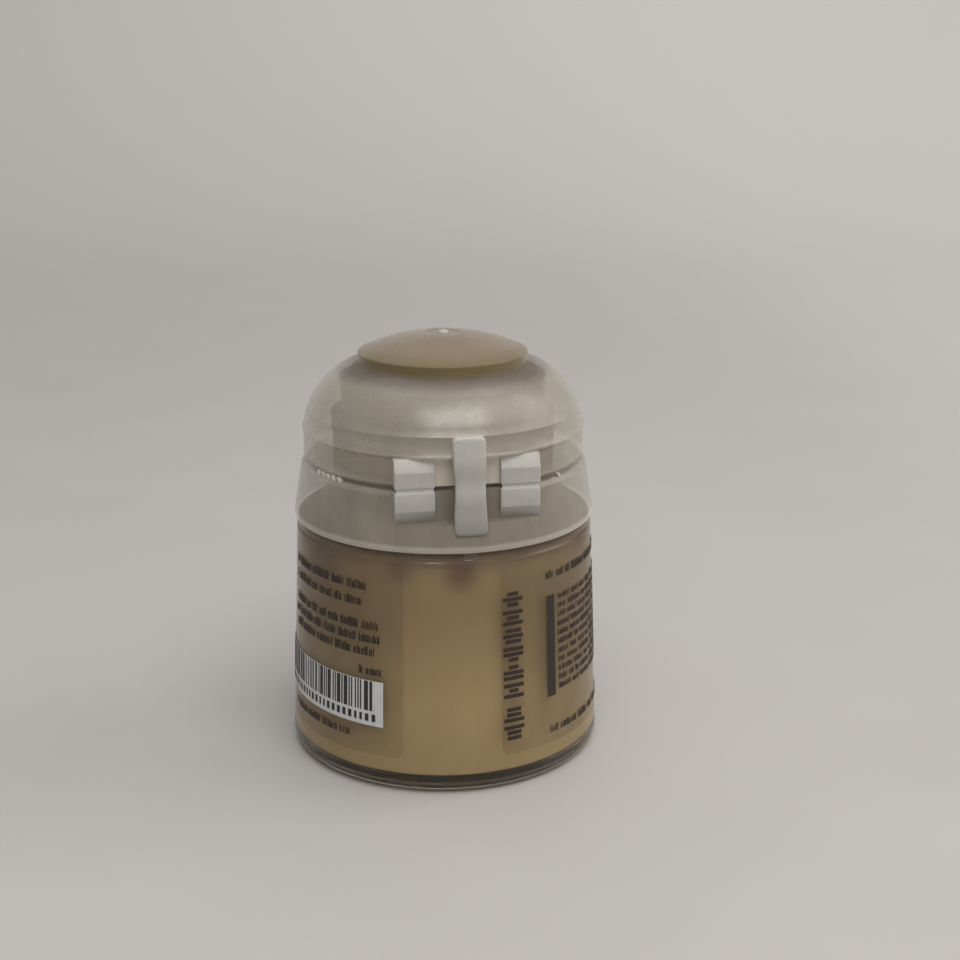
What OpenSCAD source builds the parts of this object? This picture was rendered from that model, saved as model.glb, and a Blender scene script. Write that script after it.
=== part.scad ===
// Flip-top paint pot: a round jar, a push-fit collar and a domed lid on a three-strap moulded hinge.
// Millimetres. Origin: centre of the base. +Z up, hinge towards +Y, thumb tab towards -Y.

/* [Jar] */
// Outer radius of the jar at its foot
foot_r = 16.7; // [16.6:0.05:17]
// Height of the flat shoulder that the collar sits on
shoulder_z = 25.7; // [25.5:0.1:26]
// Wall thickness of the jar's side
jar_wall = 1.25; // [1:0.05:1.5]
// Height of the inside floor above the table
floor_z = 1.7; // [1.5:0.1:2.2]
// Volume of paint in the jar, in millilitres
paint_ml = 12; // [2:0.5:12]

/* [Neck] */
// Outer radius of the neck above its snap bead
neck_r = 11.65; // [11.4:0.05:11.7]
// Inner radius of the neck
mouth_r = 10.95; // [10.9:0.05:11]
// Height of the neck's rim
rim_z = 34.8; // [34.6:0.1:34.8]

/* [Collar] */
// Outer radius of the collar's lower edge
collar_base_r = 15.94; // [15.8:0.02:16]
// Outer radius of the collar's upper edge
collar_top_r = 15.08; // [15:0.02:15.2]

/* [Lid] */
// Outer radius of the lid's skirt
lid_r = 14.8; // [14.6:0.05:14.9]
// Wall thickness of the lid
lid_wall = 1.1; // [0.9:0.05:1.2]
// Radius of the raised well on top
well_r = 8.93; // [8.6:0.01:9.2]
// Height of the well's straight side
well_side = 0.9; // [0.6:0.1:1.2]
// Rise of the well's crowned top above its straight side
crown_h = 1.95; // [1.5:0.05:2.2]

/* [Hinge] */
// Height of the seam between collar and lid, which is the hinge line
seam_z = 31.9; // [31.8:0.05:32]
// Gap between collar and lid at the seam
seam_gap = 0.45; // [0.35:0.05:0.5]
// Thickness of the two hinge films
film_t = 0.3; // [0.2:0.05:0.4]
// Width of the sprung centre strap
strap_w = 3.3; // [2.6:0.1:3.6]
// Thickness of the sprung centre strap
strap_t = 0.6; // [0.5:0.05:0.7]

/* [Label] */
// Thickness of the label film
label_t = 0.1; // [0.08:0.01:0.12]
// Height of the label's lower edge
label_low = 3.8; // [2.8:0.1:5]
// Height of the label's upper edge
label_high = 24.5; // [20:0.1:24.5]
// Angle from the hinge round to the label's first edge, towards -X
label_first = 10.9; // [5:0.1:20]
// Angle from the hinge round to the label's last edge, towards +X
label_last = 24.8; // [10:0.1:30]

/* [Hidden] */
$fn = 240;
eps = 0.01;
far = 40;                                 // larger than the whole pot, for cutting tools

// Jar
panel_r = foot_r - label_t;               // label panel, set in by the film's thickness
panel_top_r = 15.72;                      // the wall draws in this far at the top of the panel
panel_top_z = 24.6;
step_z = 2.6;                             // top of the foot band
foot_round = 1.5;
recess_r = 13.6;                          // hollow under the base
recess_h = 0.5;
throat_r = 15.6;                          // bare band under the collar
neck_root_r = 12.9;
bead_r = 13.5;
bead_low = 26.5;
bead_high = 27.2;
neck_start = 27.9;                        // the neck is straight from here to the rim
rim_round = 0.35;
inner_top_z = shoulder_z - 1.3;           // underside of the shoulder
inner_low_r = 15.35;
inner_high_r = panel_top_r - jar_wall;
inner_corner = 0.8;
paint_mean_r = (inner_low_r + inner_high_r) / 2;
paint_z = floor_z + 1000 * paint_ml / (PI * paint_mean_r * paint_mean_r);
lug_w = 1.6;
lug_low = 24.9;

// Collar
collar_low = shoulder_z;
collar_edge_z = collar_low + 0.4;         // the widest ring
collar_high = seam_z - seam_gap / 2;
collar_wall = 1.15;
deck_t = 1;                               // flat deck between the collar's edge and the neck
neck_play = 0.15;
deck_hole_r = neck_r + neck_play;
floor_plate_t = 0.7;                      // shelf at the bottom of the hinge pocket
band_top = 28.5;                          // the full-width band below the hinge pocket

// Hinge pocket: both mouldings are cut back to a flat behind the straps
pocket_y = 13.65;
pocket_half = 7.6;
pocket_wall = 0.7;
pocket_low = band_top;
pocket_high = 35.1;

// Lid
lid_low = seam_z + seam_gap / 2;
dome_r = 7.8;                             // radius of the dome's round edge
dome_z = 34.5;                            // height where the skirt ends and the dome starts
dome_x = lid_r - dome_r;
well_low = 42.05;                         // where the well's side meets the dome
well_high = well_low + well_side;
crown_r = (well_r * well_r + crown_h * crown_h) / (2 * crown_h);
top_z = well_high + crown_h;
lid_edge = 0.25;                          // bevel round the skirt's lower edge
gate_pad_r = 1.75;
gate_pad_cut = 0.1;
gate_r = 0.55;
gate_h = 0.25;
plug_r = 10.8;
plug_wall = 0.85;
plug_tip_r = 10;
plug_tip_z = rim_z - 0.9;
flange_r = 11.88;
flange_t = 0.6;
seat_gap = 0.05;                          // play between the lid's flange and the neck's rim
tab_r = 8;
tab_reach = 16.6;
tab_half = 4.6;
tab_t = 1.3;

// Hinge
axis_y = 14.1;
leaf_in = 3.3;
leaf_out = 7.3;
leaf_y = axis_y + film_t / 2;             // outer face of the four leaves
leaf_low = 28.5;
leaf_high = 35.05;
leaf_slant = 1.3;                         // height of the slanted top and bottom of the leaves
root_low = 27.5;
root_split_low = 28.6;
root_split_high = 35.05;
root_high = 37.3;
root_depth = 0.8;                         // extra depth where the strap joins the mouldings
strap_low_y = 16.02;                      // outer face of the strap at its foot, middle and head
strap_mid_y = 15.75;
strap_high_y = 14.95;

// Tear-bridge stubs, at their angles from the hinge (towards +X is negative)
stub_angles = [-69, -65.4, -61.8, -58.2, -54.6, 43];
stub_w = 0.42;
stub_lean = 0.3;
stub_r = 14.35;
stub_len = 0.55;

// Shared outlines, as half-sections: x is the radius and y is the height

// Inside of the jar's body, from its floor up to a given height
module jar_inside(top) {
    slope = (inner_low_r - inner_high_r) / (inner_top_z - floor_z);
    corner_z = floor_z + inner_corner;
    corner_x = inner_low_r - slope * inner_corner - inner_corner;
    translate([0, floor_z])
        square([corner_x, inner_corner]);
    intersection() {
        translate([corner_x, corner_z])
            circle(r = inner_corner);
        translate([corner_x, floor_z])
            square([inner_corner, inner_corner]);
    }
    polygon([
        [0, corner_z],
        [corner_x + inner_corner, corner_z],
        [inner_low_r - slope * (top - floor_z), top],
        [0, top]
    ]);
}

// Everything inside the collar's outer surface
module collar_outline() {
    polygon([
        [0, collar_low],
        [collar_base_r - 0.2, collar_low],
        [collar_base_r, collar_low + 0.2],
        [collar_base_r, collar_edge_z],
        [collar_top_r, collar_high - 0.2],
        [collar_top_r - 0.2, collar_high],
        [0, collar_high]
    ]);
}

// Everything inside the lid's dome and skirt, drawn in by a wall's thickness and started at a height
module dome_outline(inset, low) {
    r = dome_r - inset;
    polygon([
        [0, low],
        [lid_r - inset - lid_edge, low],
        [lid_r - inset, low + lid_edge],
        [lid_r - inset, dome_z],
        [0, dome_z]
    ]);
    translate([0, dome_z])
        square([dome_x, r]);
    intersection() {
        translate([dome_x, dome_z])
            circle(r = r);
        translate([dome_x, dome_z])
            square([r, r]);
    }
}

// The raised well on top, as a solid that reaches down into the dome
module well_solid(inset) {
    intersection() {
        translate([0, 0, dome_z])
            cylinder(r = well_r - inset, h = far);
        translate([0, 0, top_z - crown_r])
            sphere(r = crown_r - inset);
    }
}

// The box that the hinge pocket is cut with, between two heights
module pocket_box(low, high) {
    translate([-pocket_half, pocket_y, low])
        cube([2 * pocket_half, far, high - low]);
}

// A wall that closes the back of the hinge pocket, between two heights
module pocket_back(low, high) {
    translate([-pocket_half - 0.8, pocket_y - pocket_wall, low])
        cube([2 * pocket_half + 1.6, pocket_wall, high - low]);
}

// A shelf at the top or bottom of the hinge pocket, between two heights
module pocket_floor(low, high) {
    translate([-pocket_half - 0.8, pocket_y - pocket_wall, low])
        cube([2 * pocket_half + 1.6, far, high - low]);
}

// Puts its children on the +X side, or mirrors them to the -X side
module one_side(right) {
    mirror([right ? 0 : 1, 0, 0])
        children();
}

// Jar

module jar() {
    color([0.78, 0.75, 0.7, 0.6])
    difference() {
        rotate_extrude()
            difference() {
                union() {
                    jar_body_outline();
                    jar_neck_outline();
                }
                jar_inside(inner_top_z);
                translate([0, inner_top_z - eps])
                    square([mouth_r, far]);
            }
        translate([0, 0, -1])
            cylinder(r = recess_r, h = 1 + recess_h);
    }
}

module jar_body_outline() {
    translate([0, foot_round])
        square([foot_r, step_z - foot_round]);
    square([foot_r - foot_round, foot_round]);
    intersection() {
        translate([foot_r - foot_round, foot_round])
            circle(r = foot_round);
        translate([foot_r - foot_round, 0])
            square([foot_round, foot_round]);
    }
    polygon([
        [0, step_z],
        [panel_r, step_z],
        [panel_top_r, panel_top_z],
        [throat_r, panel_top_z + 0.2],
        [throat_r, shoulder_z],
        [0, shoulder_z]
    ]);
}

module jar_neck_outline() {
    polygon([
        [0, shoulder_z],
        [neck_root_r, shoulder_z],
        [neck_root_r, bead_low - 0.2],
        [bead_r, bead_low],
        [bead_r, bead_high],
        [neck_r, neck_start],
        [neck_r, rim_z - rim_round],
        [neck_r - rim_round, rim_z],
        [0, rim_z]
    ]);
}

module paint_fill() {
    color([0.52, 0.42, 0.29])
    rotate_extrude()
        jar_inside(paint_z);
}

module label_film() {
    slope = (panel_r - panel_top_r) / (panel_top_z - step_z);
    low_r = panel_r - slope * (label_low - step_z);
    high_r = panel_r - slope * (label_high - step_z);
    color([0.85, 0.83, 0.78, 0.4])
    rotate([0, 0, 90 + label_first])
        rotate_extrude(angle = 360 - label_first - label_last)
            polygon([
                [low_r, label_low],
                [low_r + label_t, label_low],
                [high_r + label_t, label_high],
                [high_r, label_high]
            ]);
}

module index_lug() {
    color([0.85, 0.84, 0.8])
    difference() {
        translate([-lug_w / 2, throat_r - 1, lug_low])
            cube([lug_w, 1.3, shoulder_z - lug_low]);
        translate([0, 0, lug_low - 1])
            cylinder(r = throat_r, h = far);
    }
}

// Collar, which stays on the jar

module collar() {
    color([0.75, 0.73, 0.69])
    difference() {
        union() {
            difference() {
                rotate_extrude()
                    difference() {
                        collar_outline();
                        collar_inside();
                    }
                pocket_box(pocket_low, far);
            }
            intersection() {
                rotate_extrude()
                    collar_outline();
                union() {
                    pocket_back(band_top, collar_high);
                    pocket_floor(band_top - floor_plate_t, band_top);
                }
            }
        }
        rotate_extrude()
            polygon([
                [0, collar_low - 1],
                [bead_r + neck_play, collar_low - 1],
                [bead_r + neck_play, bead_high],
                [deck_hole_r, neck_start],
                [deck_hole_r, far],
                [0, far]
            ]);
    }
}

module collar_inside() {
    catch_r = neck_root_r + 0.15;
    polygon([
        [0, collar_low - 1],
        [catch_r, collar_low - 1],
        [catch_r, bead_low - 0.2],
        [bead_r + 0.1, bead_low - 0.05],
        [bead_r + 0.1, band_top - 0.4],
        [collar_base_r - collar_wall - 0.7, band_top],
        [collar_top_r - collar_wall, collar_high - deck_t],
        [deck_hole_r, collar_high - deck_t],
        [deck_hole_r, far],
        [0, far]
    ]);
}

module bridge_stubs() {
    color([0.8, 0.78, 0.74])
    for (a = stub_angles)
        rotate([0, 0, 90 + a])
            translate([stub_r, -stub_w / 2, collar_high])
                rotate([90, 0, 90])
                    linear_extrude(height = stub_len)
                        polygon([
                            [0, 0],
                            [stub_w, 0],
                            [stub_w + stub_lean, seam_gap - 0.05],
                            [stub_lean, seam_gap - 0.05]
                        ]);
}

module leaf_lower(right) {
    color([0.88, 0.87, 0.84])
    difference() {
        one_side(right)
            leaf_slab([
                [pocket_y - 1.5, collar_high],
                [leaf_y, collar_high],
                [leaf_y, leaf_low + leaf_slant],
                [pocket_y, leaf_low],
                [pocket_y - 1.5, leaf_low]
            ]);
        collar_block();
    }
}

// The collar's outside as a solid block, with the hinge pocket cut out of it
module collar_block() {
    difference() {
        rotate_extrude()
            collar_outline();
        pocket_box(pocket_low, far);
    }
}

// A leaf drawn from its outline seen from the side
module leaf_slab(side) {
    translate([leaf_in, 0, 0])
        rotate([90, 0, 90])
            linear_extrude(height = leaf_out - leaf_in)
                polygon(side);
}

module strap_root_lower() {
    color([0.92, 0.91, 0.88])
    difference() {
        strap_slab(root_low, root_split_low, root_depth);
        rotate_extrude()
            collar_outline();
    }
}

// Lid, which turns about the hinge line

module lid_shell() {
    color([0.74, 0.71, 0.66])
    difference() {
        lid_block();
        difference() {
            union() {
                rotate_extrude()
                    dome_outline(lid_wall, lid_low - 1);
                well_solid(lid_wall);
            }
            pocket_back(0, pocket_high);
            pocket_floor(pocket_high, pocket_high + lid_wall);
        }
        translate([0, 0, top_z - gate_pad_cut])
            cylinder(r = gate_pad_r, h = far);
    }
}

// The lid's outside as a solid block, with the hinge pocket cut out of it
module lid_block() {
    difference() {
        union() {
            rotate_extrude()
                dome_outline(0, lid_low);
            well_solid(0);
        }
        pocket_box(0, pocket_high);
    }
}

module seal_plug() {
    color([0.7, 0.67, 0.62])
    intersection() {
        rotate_extrude()
            polygon([
                [plug_r - plug_wall, far + dome_z],
                [plug_r - plug_wall, rim_z + 1],
                [plug_tip_r - 0.5, plug_tip_z],
                [plug_tip_r, plug_tip_z],
                [plug_r, rim_z + seat_gap],
                [flange_r, rim_z + seat_gap],
                [flange_r, rim_z + seat_gap + flange_t],
                [plug_r, rim_z + seat_gap + flange_t],
                [plug_r, far + dome_z]
            ]);
        rotate_extrude()
            dome_outline(lid_wall, lid_low);
    }
}

module thumb_tab() {
    color([0.78, 0.76, 0.72])
    difference() {
        intersection() {
            translate([0, tab_r - tab_reach, lid_low])
                cylinder(r = tab_r, h = tab_t);
            translate([-tab_half, -far, lid_low])
                cube([2 * tab_half, far, tab_t]);
        }
        translate([0, 0, lid_low - 1])
            cylinder(r = lid_r, h = far);
    }
}

module gate_nub() {
    color([0.85, 0.83, 0.8])
    translate([0, 0, top_z - gate_pad_cut])
        cylinder(r = gate_r, h = gate_h);
}

module leaf_upper(right) {
    color([0.88, 0.87, 0.84])
    difference() {
        one_side(right)
            leaf_slab([
                [pocket_y - 1.5, lid_low],
                [leaf_y, lid_low],
                [leaf_y, leaf_high - leaf_slant],
                [pocket_y, leaf_high],
                [pocket_y - 1.5, leaf_high]
            ]);
        lid_block();
    }
}

module strap_root_upper() {
    color([0.92, 0.91, 0.88])
    difference() {
        strap_slab(root_split_high, root_high, root_depth);
        rotate_extrude()
            dome_outline(0, lid_low);
    }
}

// Straps that bend when the lid turns

module hinge_film(right) {
    color([0.93, 0.92, 0.9])
    one_side(right)
        translate([leaf_in, leaf_y - film_t, collar_high])
            cube([leaf_out - leaf_in, film_t, seam_gap]);
}

module spring_strap() {
    color([0.93, 0.92, 0.9])
    strap_slab(root_split_low, root_split_high, 0);
}

// The centre strap seen from the side, cut to the stretch between two heights and made deeper inwards
module strap_slab(low, high, extra) {
    depth = strap_t + extra;
    intersection() {
        translate([-strap_w / 2, 0, 0])
            rotate([90, 0, 90])
                linear_extrude(height = strap_w)
                    polygon([
                        [strap_low_y, root_low],
                        [strap_mid_y, seam_z],
                        [strap_high_y, root_high],
                        [strap_high_y - depth, root_high],
                        [strap_mid_y - depth, seam_z],
                        [strap_low_y - depth, root_low]
                    ]);
        translate([-strap_w, 0, low])
            cube([2 * strap_w, far, high - low]);
    }
}

jar();
paint_fill();
label_film();
index_lug();
collar();
bridge_stubs();
leaf_lower(false);  // leaf_lower_left
leaf_lower(true);  // leaf_lower_right
strap_root_lower();
lid_shell();
seal_plug();
thumb_tab();
gate_nub();
leaf_upper(false);  // leaf_upper_left
leaf_upper(true);  // leaf_upper_right
strap_root_upper();
hinge_film(false);  // hinge_film_left
hinge_film(true);  // hinge_film_right
spring_strap();
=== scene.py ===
import math
import random

import bmesh
import bpy
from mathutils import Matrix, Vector


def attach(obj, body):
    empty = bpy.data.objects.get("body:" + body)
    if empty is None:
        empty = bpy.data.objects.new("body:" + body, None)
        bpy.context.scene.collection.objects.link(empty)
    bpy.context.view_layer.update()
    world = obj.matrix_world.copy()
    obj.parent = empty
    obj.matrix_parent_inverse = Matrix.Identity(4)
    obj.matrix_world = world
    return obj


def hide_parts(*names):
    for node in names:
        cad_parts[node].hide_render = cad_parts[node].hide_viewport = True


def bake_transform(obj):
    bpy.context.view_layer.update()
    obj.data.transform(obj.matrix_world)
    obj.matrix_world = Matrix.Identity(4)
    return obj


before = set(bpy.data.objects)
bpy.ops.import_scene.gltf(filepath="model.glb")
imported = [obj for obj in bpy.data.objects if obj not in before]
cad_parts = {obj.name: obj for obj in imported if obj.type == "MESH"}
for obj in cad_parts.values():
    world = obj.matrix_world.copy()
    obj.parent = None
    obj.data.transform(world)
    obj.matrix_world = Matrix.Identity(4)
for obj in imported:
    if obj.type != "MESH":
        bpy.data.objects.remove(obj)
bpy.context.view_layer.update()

MM = 0.001
STEPS = 224  # facets round a turned piece

# Main sizes of the CAD part, in millimetres
PANEL_R = 16.6
PANEL_TOP_R = 15.72
STEP_Z = 2.6
PANEL_TOP_Z = 24.6
THROAT_R = 15.6
SHOULDER_Z = 25.7
NECK_R = 11.65
MOUTH_R = 10.95
RIM_Z = 34.8
FLOOR_Z = 1.7
INNER_LOW_R = 15.35
INNER_HIGH_R = PANEL_TOP_R - 1.25
INNER_TOP_Z = 25.0
PAINT_Z = 18.9
COLLAR_LOW = 25.7
COLLAR_HIGH = 31.675
COLLAR_BASE_R = 15.94
COLLAR_TOP_R = 15.08
POCKET_LOW = 28.5
POCKET_HIGH = 35.1
POCKET_Y = 13.65
POCKET_HALF = 7.6
POCKET_WALL = 0.7
LID_LOW = 32.125
LID_R = 14.8
LID_WALL = 1.1
DOME_R = 7.8
DOME_Z = 34.5
DOME_X = LID_R - DOME_R
WELL_R = 8.93
WELL_SIDE_LOW = 42.05
WELL_SIDE_HIGH = 42.95
TOP_Z = 44.9
CROWN_R = 21.42
LEAF_IN = 3.3
LEAF_OUT = 7.3
LEAF_Y = 14.25
LEAF_LOW = 28.5
LEAF_HIGH = 35.05
FILM_T = 0.3
SEAM_Z = 31.9
STRAP_W = 3.3
STRAP_T = 0.6
STRAP_LOW = 27.5
STRAP_HIGH = 37.3
STRAP_LOW_Y = 16.02
STRAP_MID_Y = 15.75
STRAP_HIGH_Y = 14.95
LABEL_LOW = 3.8
LABEL_HIGH = 24.5
LABEL_FIRST = 10.9  # degrees from the hinge towards -X
LABEL_LAST = 24.8  # degrees from the hinge towards +X
LABEL_T = 0.1
CROWN_WALL = 1.1
PLUG_R = 10.8
PLUG_INNER_R = 9.95
FLANGE_R = 11.88
COLLAR_BORE_R = 13.65
COLLAR_SKIRT_R = 13.1
TAB_R = 8.0
TAB_REACH = 16.6
TAB_HALF = 4.6

# Degrees
STUB_ANGLES = (-69, -65.4, -61.8, -58.2, -54.6, 43)
PHOTO_AZIMUTH = 170.2  # the camera's direction, from -Y towards +X


# ---------------------------------------------------------------- mesh tools


def make_object(name, bm, material, smooth_angle=32):
    """A mesh object from a bmesh drawn in millimetres."""
    bmesh.ops.recalc_face_normals(bm, faces=bm.faces)
    mesh = bpy.data.meshes.new(name)
    bm.to_mesh(mesh)
    bm.free()
    for v in mesh.vertices:
        v.co *= MM
    obj = bpy.data.objects.new(name, mesh)
    bpy.context.scene.collection.objects.link(obj)
    shade(obj, smooth_angle)
    if material:
        mesh.materials.append(material)
    return obj


def shade(obj, angle):
    mesh = obj.data
    mesh.polygons.foreach_set("use_smooth", [True] * len(mesh.polygons))
    mesh.set_sharp_from_angle(angle=math.radians(angle))
    mesh.update()


def rounded(points, default=0.0, pieces=5):
    """A closed outline whose corners are rounded. A point is (x, y) or (x, y, radius)."""
    out = []
    n = len(points)
    for i, p in enumerate(points):
        radius = p[2] if len(p) > 2 else default
        here = Vector(p[:2])
        before, after = Vector(points[i - 1][:2]), Vector(points[(i + 1) % n][:2])
        a, b = (before - here), (after - here)
        if radius <= 0 or a.length < 1e-6 or b.length < 1e-6:
            out.append((here.x, here.y))
            continue
        la, lb = a.length, b.length
        a, b = a.normalized(), b.normalized()
        angle = a.angle(b)
        if angle > math.pi - 0.05:
            out.append((here.x, here.y))
            continue
        cut = min(radius / math.tan(angle / 2), la * 0.48, lb * 0.48)
        start, end = here + a * cut, here + b * cut
        for k in range(pieces + 1):
            t = k / pieces
            q = start * (1 - t) ** 2 + here * 2 * t * (1 - t) + end * t**2
            out.append((q.x, q.y))
    return out


def arc(cx, cy, r, a0, a1, pieces):
    """Points on an arc, angles in degrees."""
    out = []
    for k in range(pieces + 1):
        a = math.radians(a0 + (a1 - a0) * k / pieces)
        out.append((cx + r * math.cos(a), cy + r * math.sin(a)))
    return out


def turned(outline, wobble=None, steps=STEPS):
    """A closed half-section (radius, height) turned about Z. Points on the axis close it."""
    bm = bmesh.new()
    rings = []
    for r, z in outline:
        if r < 1e-5:
            rings.append([bm.verts.new((0, 0, z))])
            continue
        ring = []
        for k in range(steps):
            a = 2 * math.pi * k / steps
            dr, dz = wobble(r, z, a) if wobble else (0, 0)
            ring.append(
                bm.verts.new(((r + dr) * math.cos(a), (r + dr) * math.sin(a), z + dz))
            )
        rings.append(ring)
    n = len(rings)
    for i in range(n):
        one, two = rings[i], rings[(i + 1) % n]
        if len(one) == 1 and len(two) == 1:
            continue
        for k in range(steps):
            m = (k + 1) % steps
            if len(one) == 1:
                bm.faces.new((one[0], two[k], two[m]))
            elif len(two) == 1:
                bm.faces.new((one[k], two[0], one[m]))
            else:
                bm.faces.new((one[k], two[k], two[m], one[m]))
    return bm


def around(phi, r, z):
    """A point at an angle from the hinge (towards -X is positive), a radius and a height."""
    a = math.radians(phi)
    return (-r * math.sin(a), r * math.cos(a), z)


def wall_r(z):
    """Radius of the jar's label panel at a height."""
    slope = (PANEL_R - PANEL_TOP_R) / (PANEL_TOP_Z - STEP_Z)
    return PANEL_R - slope * (z - STEP_Z)


def patch(bm, phi0, phi1, z0, z1, lift, thick):
    """A thin closed mark that follows the label: between two angles and two heights."""
    facet = 2.2  # degrees
    count = max(1, int(abs(phi1 - phi0) / facet))
    grid = []
    for k in range(count + 1):
        t = phi0 + (phi1 - phi0) * k / count
        column = []
        for z in (z0, z1):
            for depth in (lift - thick, lift):
                column.append(bm.verts.new(around(t, wall_r(z) + depth, z)))
        grid.append(column)
    for k in range(count):
        a, b = grid[k], grid[k + 1]
        bm.faces.new((a[1], b[1], b[3], a[3]))
        bm.faces.new((a[0], a[2], b[2], b[0]))
        bm.faces.new((a[0], b[0], b[1], a[1]))
        bm.faces.new((a[2], a[3], b[3], b[2]))
    for c in (grid[0], grid[-1]):
        bm.faces.new((c[0], c[1], c[3], c[2]))


def prism(outline, axis, low, high):
    """A closed outline pulled straight along an axis.

    Along "x" the outline is (y, z), and along "y" it is (x, z).
    """
    bm = bmesh.new()
    ends = []
    for at in (low, high):
        if axis == "x":
            ends.append([bm.verts.new((at, p, q)) for p, q in outline])
        else:
            ends.append([bm.verts.new((p, at, q)) for p, q in outline])
    n = len(outline)
    for k in range(n):
        m = (k + 1) % n
        bm.faces.new((ends[0][k], ends[0][m], ends[1][m], ends[1][k]))
    bm.faces.new(ends[0])
    bm.faces.new(list(reversed(ends[1])))
    return bm


def box_mesh(x0, x1, y0, y1, z0, z1):
    return prism([(y0, z0), (y1, z0), (y1, z1), (y0, z1)], "x", x0, x1)


def apply_modifiers(obj):
    dg = bpy.context.evaluated_depsgraph_get()
    done = bpy.data.meshes.new_from_object(obj.evaluated_get(dg))
    obj.modifiers.clear()
    old = obj.data
    obj.data = done
    bpy.data.meshes.remove(old)


def merge(obj, other, how):
    """Cuts, joins or intersects obj with another object, which is used up."""
    m = obj.modifiers.new("merge", "BOOLEAN")
    m.operation = how
    m.solver = "EXACT"
    m.object = other
    apply_modifiers(obj)
    bpy.data.objects.remove(other)


def combine(obj, bm, how):
    """The same, with a tool given as a bmesh in millimetres."""
    merge(obj, make_object("tool", bm, None), how)


def soften(obj, width, segments=2):
    """Rounds the sharp edges that a cut leaves."""
    m = obj.modifiers.new("edges", "BEVEL")
    m.width = width * MM
    m.segments = segments
    m.limit_method = "ANGLE"
    m.angle_limit = math.radians(38)
    m.use_clamp_overlap = True
    m.harden_normals = False
    apply_modifiers(obj)
    shade(obj, 40)


def line_inside(obj, material, middle):
    """Gives the faces that look inwards, to a middle point, their own material."""
    inwards = -0.15  # cosine, so that level and upright edges keep the outer material
    obj.data.materials.append(material)
    middle = Vector(middle) * MM
    for face in obj.data.polygons:
        out = face.center - middle
        if face.normal.dot(out.normalized()) < inwards:
            face.material_index = 1


# ---------------------------------------------------------------- materials


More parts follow.
